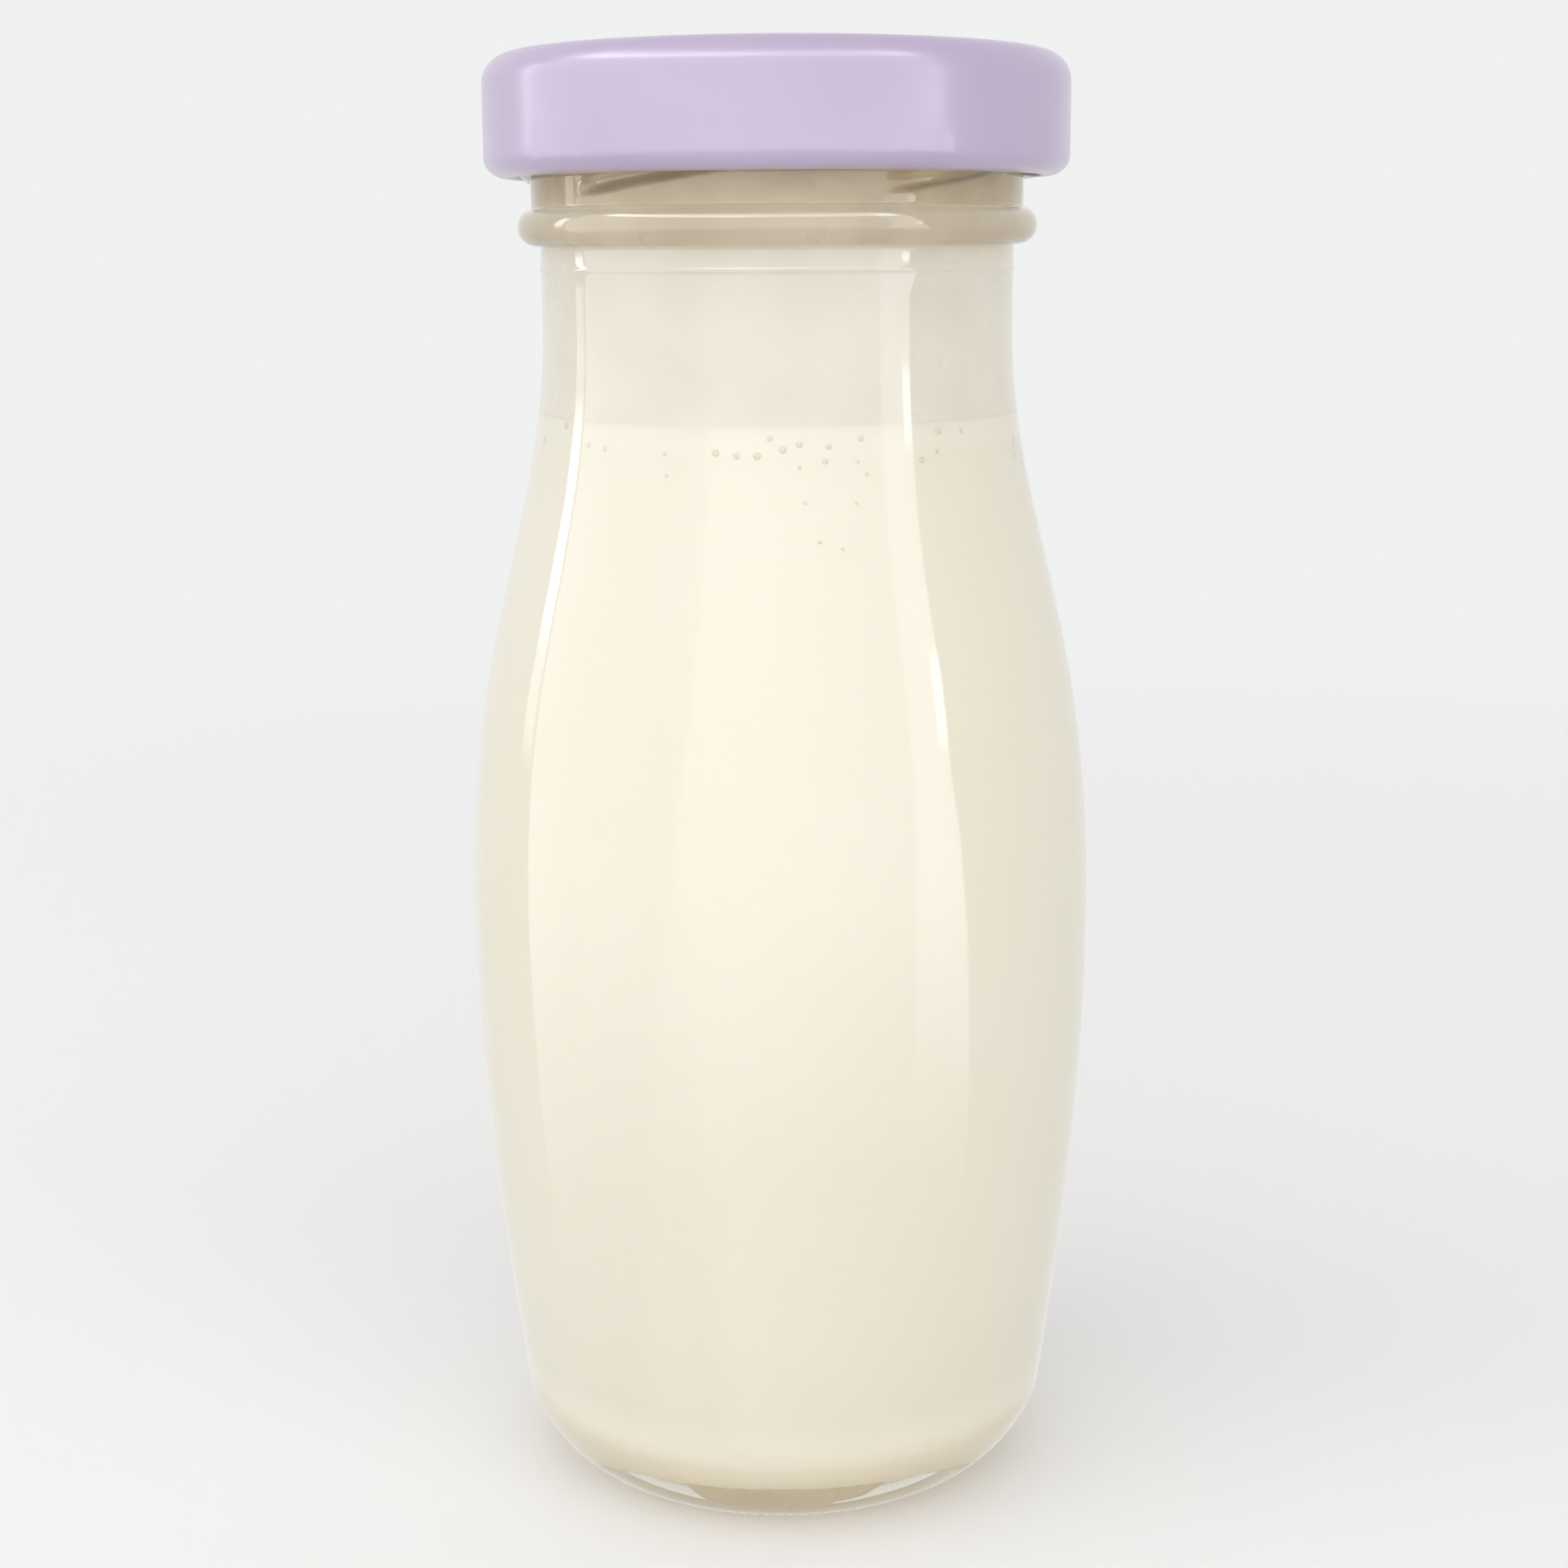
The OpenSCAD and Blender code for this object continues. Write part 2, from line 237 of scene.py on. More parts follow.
def side(low_r, low_h, inset):
    """The curve from heel to belly to neck, drawn inwards by inset."""
    belly, neck = belly_r - inset, neck_r - inset
    return np.vstack([
        cubic((low_r, low_h), (low_r + heel_lean * belly_drop, low_h + belly_drop),
              (belly, belly_h - belly_drop), (belly, belly_h), BELLY_STEPS),
        cubic((belly, belly_h), (belly, belly_h + belly_rise),
              (neck, neck_h - shoulder_drop), (neck, neck_h), BELLY_STEPS)])


push_up = cubic((0, push_up_h), (push_up_flat, push_up_h),
                (bearing_r - bearing_w - push_up_toe_in, push_up_toe_h),
                (bearing_r - bearing_w, 0), 14)
stand = straight((bearing_r - bearing_w, 0), (bearing_r - bearing_edge, 0), 5)
stand_edge = cubic((bearing_r - bearing_edge, 0), (bearing_r + bearing_edge / 3, 0),
                   (bearing_r, stand_h), (bearing_r + stand_step, stand_h), 7)
heel = cubic((bearing_r + stand_step, stand_h), (bearing_r + stand_step + heel_flat, stand_h),
             (heel_r - heel_lean * heel_reach, heel_h - heel_reach), (heel_r, heel_h), 12)
parting = np.array([
    (neck_r, parting_z - parting_half),
    (neck_r + 0.5 * parting_out, parting_z - parting_crest),
    (neck_r + parting_out, parting_z),
    (neck_r + 0.5 * parting_out, parting_z + parting_crest),
    (neck_r, parting_z + parting_half),
    (neck_r, bead_z - bead_foot)])
bead = np.vstack([arc((neck_r, bead_mid), bead_r - neck_r, bead_h / 2, -90, 0, 9),
                  arc((finish_r, bead_mid), bead_r - finish_r, bead_h / 2, 0, 90, 9)])
FINISH_STEPS = 46
finish = straight((finish_r, bead_top), (finish_r, rim_z - rim_round), FINISH_STEPS)
rim_outside = arc((finish_r - rim_round, rim_z - rim_round), rim_round, rim_round, 0, 90, 5)
rim_inside = arc((bore_r + rim_round, rim_z - rim_round), rim_round, rim_round, 90, 180, 5)
neck = straight((neck_r, neck_h), (neck_r, parting_z - 4 * parting_crest), 3)
outside = np.vstack([push_up, stand, stand_edge, heel, side(heel_r, heel_h, 0), neck, parting,
                     bead, finish, rim_outside])

# %% Outline of the inside
inner_heel_r = heel_r - wall_t
inner_heel_h = heel_h + inner_corner_lift
floor_edge_h = floor_t + floor_rise
floor_h = floor_t + push_up_h
flat_end = (inner_heel_r - inner_corner_r, floor_edge_h)
inner_floor = cubic((0, floor_h), (floor_flat, floor_h), (flat_end[0] - floor_foot, floor_edge_h),
                    flat_end, 6)
inner_corner = cubic(flat_end, (inner_heel_r - corner_out, floor_edge_h),
                     (inner_heel_r - heel_lean * corner_reach, inner_heel_h - corner_reach),
                     (inner_heel_r, inner_heel_h), 10)
inside_wall = np.vstack([inner_corner, side(inner_heel_r, inner_heel_h, wall_t),
                         [(bore_r, neck_h)]])
inside = np.vstack([inner_floor, inside_wall])
print("outline rows:", len(outside), "outside,", len(inside), "inside")

# %% [markdown]
# ## Thread ridges, seams and stipple
# A ridge is a height field on the finish wall. At each angle it peaks at the height of its helix,
# tail + rise x turn, and its section is a rounded bank, so the radius grows by
# out x bank((z - peak) / half width). Both ends run out in a smooth ramp. The seams and the
# stipple are height fields too, which costs no extra faces. Nobody polishes the push-up, so three
# slow waves are added to its heights. They die away at its middle and at the ring.

# %% Sizes of the mould marks
STIPPLES = 108
AROUND = 4 * STIPPLES
STARTS = 5
LEAD = 20 * MM
# How far a ridge stands out and how wide its root is, then its angles in degrees from +x
ridge_out = 1.0 * MM
ridge_root = 1.5 * MM
ridge_span = 100.0
ridge_ramp = 12.0
first_ridge = -140.0
first_ridge_z = 114.96 * MM
# The seams, half their width and their place in degrees, then the stipple and the waves
seam_out = 0.05 * MM
seam_half = 1.1
seam_at = 8.0
stipple_h = 0.07 * MM
base_wave = 0.9 * MM

degrees = np.arange(AROUND) * 360 / AROUND
print(STARTS, "ridges,", STIPPLES, "stipples,", AROUND, "columns")


# %% Height field of the ridges
def bank(x):
    """A rounded bank with a flat crest: 1 up to |x| = 0.3 and 0 from |x| = 1, and between them
    (1 - u^2)^1.5, where u runs from 0 to 1."""
    u = np.clip((np.abs(x) - 0.3) / 0.7, 0, 1)
    return (1 - u * u) ** 1.5


def ridge_field(z):
    """How far the thread ridges stand out at each height and angle."""
    field = np.zeros(np.broadcast(z, degrees).shape)
    for start in range(STARTS):
        along = (degrees - first_ridge - start * 360 / STARTS) % 360
        ends = ease(np.minimum(along, ridge_span - along) / ridge_ramp)
        peak = first_ridge_z + LEAD * along / 360
        field = np.maximum(field, ends * bank((z - peak) / (ridge_root / 2)))
    return field * ridge_out


# %% Grid of the glass, with its ridges and seams
radius, height = all_round(np.vstack([outside, rim_inside, inside[::-1]]), AROUND)
row_z = height[:, :1]
rows_out = len(outside)
on_finish = np.arange(len(radius)) < rows_out
on_finish &= (row_z[:, 0] > bead_top - 0.1 * MM) & (row_z[:, 0] < rim_z - rim_round)
radius[on_finish] += ridge_field(row_z[on_finish])

on_side = np.arange(len(radius)) < rows_out
on_side &= (row_z[:, 0] > heel_h) & (row_z[:, 0] < bead_z)
from_seam = (degrees - seam_at + 90) % 180 - 90
radius[on_side] += seam_out * bank(from_seam / seam_half)

# %% Stipple and waves under the base, and the mesh
on_stand = slice(len(push_up) + 2, len(push_up) + len(stand) + 3)
wave = 0.5 - 0.5 * np.cos(np.radians(degrees * STIPPLES))
height[on_stand] += stipple_h * wave
under = slice(1, len(push_up) - 1)
angle = np.radians(degrees)
reach = radius[under] / bearing_r
waves = (np.sin(2 * angle + 9 * reach) + np.sin(5 * angle - 7 * reach + 1)
         + np.sin(3 * angle + 16 * reach + 2))
height[under] += base_wave * waves * reach * (1 - reach)

bottle_glass = turned("bottle_glass", radius, height)
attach(bottle_glass, "bottle")
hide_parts("glass_bottle")

# %% [markdown]
# ## The milk and its film
# A liquid in a glass has no air between itself and the wall. If the two surfaces only touched, the
# renderer would show a dark flicker between them, so the milk reaches a hair into the glass, and a
# ray then goes straight from glass into milk. At its edge the milk climbs the wall in a small
# meniscus. Above it the wall stays coated with a thin, uneven film of milk.
#
# Real milk is lit all through, but the renderer lets light travel only a little way under the
# surface, so the underside and the thin edge would look too dark. A mask named seeping, stored on
# the points, marks where a faint glow makes up for that.

# %% Milk
LIQUID_COLUMNS = 192
milk_overlap = 0.05 * MM
meniscus = 0.8 * MM
meniscus_w = 2.6 * MM
meniscus_edge = 0.3 * MM
lip = 0.02 * MM
milk_mid_r = 6 * MM
edge_zone = 1.2 * MM
edge_steps = np.array([0.8, 0.4, 0.2, 0.1, 0.04, 0.01]) * MM


def inner_r(z):
    """The radius of the glass's inner wall at a height, read off its outline."""
    wall = np.vstack([inside_wall, [(bore_r, rim_z)]])
    return np.interp(z, wall[:, 1], wall[:, 0])


wetted = beside(inside, -milk_overlap)
wetted[0, 0] = 0
wetted = wetted[inside[:, 1] < milk_line - edge_zone]
edge_z = milk_line - edge_steps
wetted_edge = np.stack([inner_r(edge_z) + milk_overlap, edge_z], 1)
edge_r = inner_r(milk_line) + milk_overlap
surface_z = milk_line - meniscus
milk_top = cubic((edge_r - lip, milk_line), (edge_r - meniscus_edge, surface_z),
                 (edge_r - meniscus_w / 2, surface_z), (edge_r - meniscus_w, surface_z), 10)
milk_outline = np.vstack([wetted, wetted_edge, milk_top,
                          [(milk_mid_r, surface_z), (0, surface_z)]])
milk_body = turned("milk_body", *all_round(milk_outline, LIQUID_COLUMNS))
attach(milk_body, "bottle")
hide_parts("milk")

# %% Mask of the light that seeps through the milk
seep_up = 6 * MM
seep_down = 1.5 * MM

share_out = milk_outline[:, 0] / flat_end[0]
on_floor = 1 - ease((share_out - 0.8) / 0.1)
up_side = ease((share_out - 1) / 0.1)
up_side *= 1 - ease((milk_outline[:, 1] - floor_edge_h) / seep_up)
at_edge = 1 - ease((milk_line - milk_outline[:, 1]) / seep_down)
seeping = np.where(milk_outline[:, 1] < belly_h, 0.6 * on_floor + up_side, 0.5 * at_edge)
carry_mask(milk_body, "seeping", np.repeat(seeping[:, None], LIQUID_COLUMNS, 1))
print("rows of milk that glow a little:", int((seeping > 0).sum()))

# %% Film
film_overlap = 0.03 * MM
film_t = 0.15 * MM
film_rows = 40
film_under_milk = 0.4 * MM
run_down = 1.6 * MM

film_angle = 2 * np.pi * np.arange(LIQUID_COLUMNS) / LIQUID_COLUMNS
film_edge = (film_high.z - run_down * (0.5 + 0.25 * np.sin(3 * film_angle + 1)
             + 0.15 * np.sin(7 * film_angle) + 0.1 * np.sin(17 * film_angle + 2)))
rise = np.linspace(0, 1, film_rows)[:, None]
film_z = (milk_line - film_under_milk) * (1 - rise) + film_edge * rise
film_outer = inner_r(film_z) + film_overlap
streaks = 0.75 + 0.25 * np.sin(11 * film_angle + 3 * rise) * np.sin(5 * film_angle - 6 * rise)
thinner = np.sqrt(np.clip(4 * (1 - rise), 0.05, 1))
film_inner = film_outer - film_overlap - film_t * streaks * thinner
milk_film = turned("film_of_milk", np.vstack([film_outer, film_inner[::-1]]),
                   np.vstack([film_z, film_z[::-1]]), closed=True)
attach(milk_film, "bottle")
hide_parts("milk_film")

# %% [markdown]
# ## Bubbles at the milk line
# Shaking leaves small bubbles that cling to the glass just under the milk line. Each is a small
# ball set in the wall. All of them share one grid of directions: a ball's point is
# centre + radius x direction, computed for every ball at once.

# %% Where the bubbles sit
# Angle from the front in degrees, depth below the milk line in mm, and diameter in mm
FRONT_BUBBLES = [
    (-52, 2.0, 0.45), (-46, 2.2, 0.40), (-63, 0.6, 0.60), (-28, 2.4, 0.30), (-27, 4.1, 0.30),
    (-15, 2.2, 0.55), (-10, 2.4, 0.50), (-5, 2.4, 0.60), (-2, 1.0, 0.45), (1, 1.9, 0.60),
    (5, 1.5, 0.50), (5, 3.4, 0.28), (11, 2.9, 0.45), (12, 1.7, 0.45), (19, 3.0, 0.25),
    (20, 1.1, 0.50), (21, 4.0, 0.30), (36, 3.1, 0.50), (41, 2.5, 0.30), (42, 0.8, 0.60),
    (50, 1.0, 0.40), (6, 6.2, 0.28), (18, 6.3, 0.25), (9, 9.3, 0.32), (14, 9.9, 0.28),
]
BACK_BUBBLES = 46
swell = 1.1
bubble_in = 0.1 * MM

random = np.random.default_rng(7)
back = np.stack([random.uniform(75, 285, BACK_BUBBLES), 0.6 + random.gamma(2.0, 1.2, BACK_BUBBLES),
                 random.uniform(0.25, 0.6, BACK_BUBBLES)], 1)
bubbles = np.vstack([np.array(FRONT_BUBBLES), back])
azimuth = np.radians(bubbles[:, 0] - 90)
bubble_z = milk_line - bubbles[:, 1] * MM
bubble_r = swell * bubbles[:, 2] * MM / 2
from_axis = inner_r(bubble_z) + bubble_in - 0.45 * bubble_r
centers = np.stack([from_axis * np.cos(azimuth), from_axis * np.sin(azimuth), bubble_z], 1)
print(len(bubbles), "bubbles,", len(FRONT_BUBBLES), "of them at the front")

# %% One ball for every bubble
BALL_ROUND, BALL_UP = 12, 7

turn, tilt = np.meshgrid(2 * np.pi * np.arange(BALL_ROUND) / BALL_ROUND,
                         np.pi * (np.arange(1, BALL_UP + 1) / (BALL_UP + 1) - 0.5))
ring_points = np.stack([np.cos(tilt) * np.cos(turn), np.cos(tilt) * np.sin(turn), np.sin(tilt)], 2)
ball = np.vstack([[(0, 0, -1)], ring_points.reshape(-1, 3), [(0, 0, 1)]])
ball_index = 1 + np.arange(BALL_ROUND * BALL_UP).reshape(BALL_UP, BALL_ROUND)
beyond = np.roll(ball_index, -1, 1)
ball_quads = np.stack([ball_index[:-1], beyond[:-1], beyond[1:], ball_index[1:]], 2)
ball_quads = ball_quads.reshape(-1, 4)
ball_fans = np.vstack([
    np.stack([np.zeros(BALL_ROUND, int), beyond[0], ball_index[0]], 1),
    np.stack([np.full(BALL_ROUND, len(ball) - 1), ball_index[-1], beyond[-1]], 1)])
ball_start = len(ball) * np.arange(len(bubbles))[:, None, None]
bubble_points = (centers[:, None] + bubble_r[:, None, None] * ball).reshape(-1, 3)
milk_bubbles = mesh_piece("milk_bubbles", bubble_points, (ball_quads + ball_start).reshape(-1, 4),
                          (ball_fans + ball_start).reshape(-1, 3))
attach(milk_bubbles, "bottle")

# %% [markdown]
# ## The sealing ring
# Soft compound is poured into the cap's channel and cured there. It is a flat ring whose outer
# edge is rounded by the cap's corner, and it lies face to face on the rim of the glass.

# %% Sealing ring
sheet_t = 0.3 * MM
corner_round = 2.5 * MM
ring_inside = 0.2 * MM
ring_clear = 0.3 * MM
ring_in = bore_r + rim_round - ring_inside
corner = (cap_r - corner_round, cap_top - corner_round)
edge_round = corner_round - sheet_t - ring_clear
edge_start = np.degrees(np.arcsin((ring_low.z - corner[1]) / edge_round))
soft = 0.15 * MM
ring_outline = np.vstack([
    arc((ring_in + soft, ring_low.z + soft), soft, soft, 180, 270, 4),
    straight((ring_in + soft, ring_low.z), (ring_high.x, ring_low.z), 10),
    arc(corner, edge_round, edge_round, edge_start, 80, 10),
    straight((corner[0], ring_high.z), (ring_in + soft, ring_high.z), 8),
    arc((ring_in + soft, ring_high.z - soft), soft, soft, 90, 180, 4)])
RING_COLUMNS = 160
sealing_ring = turned("seal_compound_ring", *all_round(ring_outline, RING_COLUMNS), closed=True)
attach(sealing_ring, "seal")
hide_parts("sealing_ring")

# %% [markdown]
# ## The lug cap
# The cap is pressed from one disc of lacquered sheet. Its outer face runs from the button in the
# sunk panel over the rounded corner and down the skirt, and ends in a curl rolled inwards. The
# inner face is the same line moved in by the sheet's thickness. At five places a punch presses
# the curl inwards to make a lug, which moves every point there inwards: little on the outside,
# where it leaves a shallow dent, and more on the inner side of the curl.

# %% Outline of the cap
CAP_COLUMNS = 400
panel_depth = 0.6 * MM
panel_r = 16.4 * MM
panel_step_w = 1.2 * MM
button_r = 9 * MM
button_h = 0.4 * MM
curl_w = 2.6 * MM
curl_h = 1.7 * MM
curl_in_round = 0.6 * MM
curl_end = 0.05 * MM

panel_z = cap_top - panel_depth
curl_r = cap_r - curl_w + curl_in_round
cap_face = np.vstack([
    cubic((0, panel_z + button_h), (button_r * 0.5, panel_z + button_h), (button_r * 0.7, panel_z),
          (button_r, panel_z), 12),
    straight((button_r, panel_z), (panel_r - panel_step_w / 2, panel_z), 5),
    cubic((panel_r - panel_step_w / 2, panel_z), (panel_r, panel_z), (panel_r, cap_top),
          (panel_r + panel_step_w / 2, cap_top), 10),
    straight((panel_r + panel_step_w / 2, cap_top), (corner[0], cap_top), 5),
    arc(corner, corner_round, corner_round, 90, 0, 12),
    straight((cap_r, corner[1]), (cap_r, cap_bottom + curl_h), 14),
    arc((curl_r, cap_bottom + curl_h), cap_r - curl_r, curl_h, 0, -90, 12),
    arc((curl_r, cap_bottom + curl_in_round), curl_in_round, curl_in_round, -90, -260, 12),
    [(curl_r + curl_in_round, cap_bottom + 2 * curl_in_round + curl_end)]])
cap_inner = beside(cap_face, -sheet_t)
cap_inner[0, 0] = 0
cap_outline = np.vstack([cap_inner, cap_face[::-1]])

# %% Lugs pressed into the curl
# Where one lug lies, half a lug's width and its soft ends, in degrees
lug_from_front = -45.0
lug_half = 7.0
lug_ease = 3.0
lug_clear = 0.35 * MM
lug_reach = cap_r - curl_w - (finish_r + lug_clear)
dent_depth = 0.12 * MM
dent_lift = 0.6 * MM
dent_fade = 3.4 * MM

cap_degrees = np.arange(CAP_COLUMNS) * 360 / CAP_COLUMNS
cap_radius, cap_height = all_round(cap_outline, CAP_COLUMNS)
from_lug = (cap_degrees - (lug_from_front - 90) + 180 / STARTS) % (360 / STARTS) - 180 / STARTS
across_lug = 1 - ease((np.abs(from_lug) - lug_half + lug_ease) / lug_ease)
up_skirt = 1 - ease((cap_height - cap_bottom - dent_lift) / dent_fade)
inwards = np.clip((cap_r - cap_radius) / curl_w, 0, 1)
on_skirt = cap_radius > cap_r - curl_w - 0.01 * MM
pressed = across_lug * up_skirt * on_skirt
cap_radius -= pressed * (dent_depth + (lug_reach - dent_depth) * inwards ** 1.5)
lug_cap = turned("pressed_cap", cap_radius, cap_height)
inner_face = np.zeros((len(cap_outline), CAP_COLUMNS))
inner_face[:len(cap_inner)] = 1
carry_mask(lug_cap, "inside", inner_face)
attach(lug_cap, "cap")
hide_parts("lug_cap")

# %% [markdown]
# ## Shared surface effects
# No real surface is perfectly even. Moulded glass ripples a little, lacquer has an orange-peel
# skin, and cured compound is finely grained. One node group makes this unevenness from noise of a
# given size and depth, and a second one clouds a colour with a slightly different tone.


# %% A node group with named sockets
def new_group(name, inputs, outputs):
    """An empty shader node group with named sockets, and its input and output nodes."""
    group = bpy.data.node_groups.new(name, "ShaderNodeTree")
    for socket, kind in inputs:
        group.interface.new_socket(socket, in_out="INPUT", socket_type=kind)
    for socket, kind in outputs:
        group.interface.new_socket(socket, in_out="OUTPUT", socket_type=kind)
    return group, group.nodes.new("NodeGroupInput"), group.nodes.new("NodeGroupOutput")


# %% Unevenness
def unevenness_group():
    """Normal = surface normal tilted by a bump whose height is noise x depth."""
    group, given, made = new_group(
        "unevenness",
        [("Vector", "NodeSocketVector"), ("Scale", "NodeSocketFloat"), ("Depth", "NodeSocketFloat")],
        [("Normal", "NodeSocketVector")])
    noise = group.nodes.new("ShaderNodeTexNoise")
    noise.inputs["Detail"].default_value = 2.0
    bump = group.nodes.new("ShaderNodeBump")
    link = group.links.new
    link(given.outputs["Vector"], noise.inputs["Vector"])
    link(given.outputs["Scale"], noise.inputs["Scale"])
    link(given.outputs["Depth"], bump.inputs["Distance"])
    link(noise.outputs["Fac"], bump.inputs["Height"])
    link(bump.outputs["Normal"], made.inputs["Normal"])
    return group


# %% Clouding
def clouding_group():
    """Color = plain to clouded by noise; Value runs from low to high with the same noise."""
    group, given, made = new_group(
        "clouding",
        [("Vector", "NodeSocketVector"), ("Scale", "NodeSocketFloat"), ("Plain", "NodeSocketColor"),
         ("Clouded", "NodeSocketColor"), ("Low", "NodeSocketFloat"), ("High", "NodeSocketFloat")],
        [("Color", "NodeSocketColor"), ("Value", "NodeSocketFloat")])
    noise = group.nodes.new("ShaderNodeTexNoise")
    noise.inputs["Detail"].default_value = 4.0
    spread = group.nodes.new("ShaderNodeMapRange")
    spread.inputs["From Min"].default_value = 0.35
    spread.inputs["From Max"].default_value = 0.65
    tone = group.nodes.new("ShaderNodeMix")
    tone.data_type = "RGBA"
    level = group.nodes.new("ShaderNodeMapRange")
    link = group.links.new
    link(given.outputs["Vector"], noise.inputs["Vector"])
    link(given.outputs["Scale"], noise.inputs["Scale"])
    link(noise.outputs["Fac"], spread.inputs["Value"])
    link(spread.outputs["Result"], tone.inputs["Factor"])
    link(given.outputs["Plain"], tone.inputs["A"])
    link(given.outputs["Clouded"], tone.inputs["B"])
    link(spread.outputs["Result"], level.inputs["Value"])
    link(given.outputs["Low"], level.inputs["To Min"])
    link(given.outputs["High"], level.inputs["To Max"])
    link(tone.outputs["Result"], made.inputs["Color"])
    link(level.outputs["Result"], made.inputs["Value"])
    return group


UNEVENNESS = unevenness_group()
CLOUDING = clouding_group()
print("node groups:", UNEVENNESS.name, "and", CLOUDING.name)


# %% Colours and materials
BLACK = (0.0, 0.0, 0.0, 1.0)


def srgb(red, green, blue):
    """A linear colour from 8-bit sRGB: ((c + 0.055) / 1.055) ^ 2.4 for all but the darkest."""
    value = np.array([red, green, blue]) / 255
    linear = np.where(value <= 0.04045, value / 12.92, ((value + 0.055) / 1.055) ** 2.4)
    return (*linear.tolist(), 1.0)


def new_material(name):
    """A material, its nodes, the function that links them, and its Principled shader."""
    material = bpy.data.materials.new(name)
    material.use_nodes = True
    nodes = material.node_tree.nodes
    return material, nodes, material.node_tree.links.new, nodes["Principled BSDF"]


# %% Nodes that several finishes use
def add_unevenness(nodes, link, shader, scale, depth):
    """Feeds a shader's Normal from the unevenness group, on Object coordinates."""
    coordinates = nodes.new("ShaderNodeTexCoord")
    uneven = nodes.new("ShaderNodeGroup")
    uneven.node_tree = UNEVENNESS
    uneven.inputs["Scale"].default_value = scale
    uneven.inputs["Depth"].default_value = depth
    link(coordinates.outputs["Object"], uneven.inputs["Vector"])
    link(uneven.outputs["Normal"], shader.inputs["Normal"])


def add_clouding(nodes, link, scale, plain, clouded, low, high):
    """A clouding node on Object coordinates, with two colours and a range for its value."""
    coordinates = nodes.new("ShaderNodeTexCoord")
    cloud = nodes.new("ShaderNodeGroup")
    cloud.node_tree = CLOUDING
    cloud.inputs["Scale"].default_value = scale
    cloud.inputs["Plain"].default_value = plain
    cloud.inputs["Clouded"].default_value = clouded
    cloud.inputs["Low"].default_value = low
    cloud.inputs["High"].default_value = high
    link(coordinates.outputs["Object"], cloud.inputs["Vector"])
    return cloud


def between_heights(nodes, link, start, end):
    """A smooth step of the height in Object coordinates: 0 at start and 1 at end."""
    coordinates = nodes.new("ShaderNodeTexCoord")
    axes = nodes.new("ShaderNodeSeparateXYZ")
    step = nodes.new("ShaderNodeMapRange")
    step.interpolation_type = "SMOOTHSTEP"
    step.inputs["From Min"].default_value = start
    step.inputs["From Max"].default_value = end
    link(coordinates.outputs["Object"], axes.inputs["Vector"])
    link(axes.outputs["Z"], step.inputs["Value"])
    return step.outputs["Result"]


def stored_mask(nodes, name):
    """The mask that a mesh carries under a name."""
    mask = nodes.new("ShaderNodeAttribute")
    mask.attribute_name = name
    return mask.outputs["Fac"]


def blend(nodes, link, share, first, second):
    """A colour that runs from first to second as the share runs from 0 to 1. Each of the two is a
    plain colour or another node's output."""
    mix = nodes.new("ShaderNodeMix")
    mix.data_type = "RGBA"
    link(share, mix.inputs["Factor"])
    for socket, color in (("A", first), ("B", second)):
        if isinstance(color, tuple):
            mix.inputs[socket].default_value = color
        else:
            link(color, mix.inputs[socket])
    return mix.outputs["Result"]


# %% [markdown]
# ## Materials
# Clear glass is all transmission. A lamp's light can't find its way through a solid pane by chance,
# so for shadow rays the glass is swapped for a plain transparent shader. Milk scatters light under
# its surface, which a little subsurface weight gives. The lacquer is a smooth coat on a satin base.
# Thick glass shows its own tint. Low down, where it is thickest, the glass turns olive: partly that
# tint, and partly painted shade, deeper than a real tint, which dims the view through the base.


# %% Clear glass
base_tint_and_shade_from = 6.2 * MM
base_tint_and_shade_to = 2.6 * MM


def clear_glass():
    """Soda-lime glass with the slight ripple of a blow mould. Its colour runs from nearly white to
    olive between two heights near the base."""
    material, nodes, link, shader = new_material("clear_glass")
    # The olive near the base is partly the glass's own tint and partly painted shade of the view
    # through the base.
    low_down = between_heights(nodes, link, base_tint_and_shade_from, base_tint_and_shade_to)
    tone = blend(nodes, link, low_down, (0.985, 0.99, 0.98, 1.0), (0.735, 0.67, 0.56, 1.0))
    link(tone, shader.inputs["Base Color"])
    shader.inputs["Roughness"].default_value = 0.0
    shader.inputs["IOR"].default_value = 1.5
    shader.inputs["Transmission Weight"].default_value = 1.0
    add_unevenness(nodes, link, shader, 55.0, 0.00012)
    clear = nodes.new("ShaderNodeBsdfTransparent")
    clear.inputs["Color"].default_value = (0.97, 0.98, 0.96, 1)
    path = nodes.new("ShaderNodeLightPath")
    swap = nodes.new("ShaderNodeMixShader")
    link(path.outputs["Is Shadow Ray"], swap.inputs["Fac"])
    link(shader.outputs["BSDF"], swap.inputs[1])
    link(clear.outputs["BSDF"], swap.inputs[2])
    link(swap.outputs["Shader"], nodes["Material Output"].inputs["Surface"])
    return material


# %% Milk and bubbles
def milky(name, plain, clouded, scale, roughness, depth, scattering, seeping=None):
    """A cream-white liquid: clouded colour, light scattered under the surface, a wet gloss. Where
    a colour is given for seeping, the mask of that name lets it glow there."""
    material, nodes, link, shader = new_material(name)
    cloud = add_clouding(nodes, link, scale, plain, clouded, roughness, roughness + 0.12)
    link(cloud.outputs["Color"], shader.inputs["Base Color"])
    shader.inputs["Subsurface Weight"].default_value = scattering
    link(cloud.outputs["Value"], shader.inputs["Roughness"])
    shader.inputs["Subsurface Radius"].default_value = (1.0, 0.9, 0.7)
    shader.inputs["Subsurface Scale"].default_value = 0.003
    shader.inputs["IOR"].default_value = 1.35
    add_unevenness(nodes, link, shader, 300.0, depth)
    if seeping is not None:
        glow = blend(nodes, link, stored_mask(nodes, "seeping"), BLACK, seeping)
        link(glow, shader.inputs["Emission Color"])
        shader.inputs["Emission Strength"].default_value = 1.0
    return material


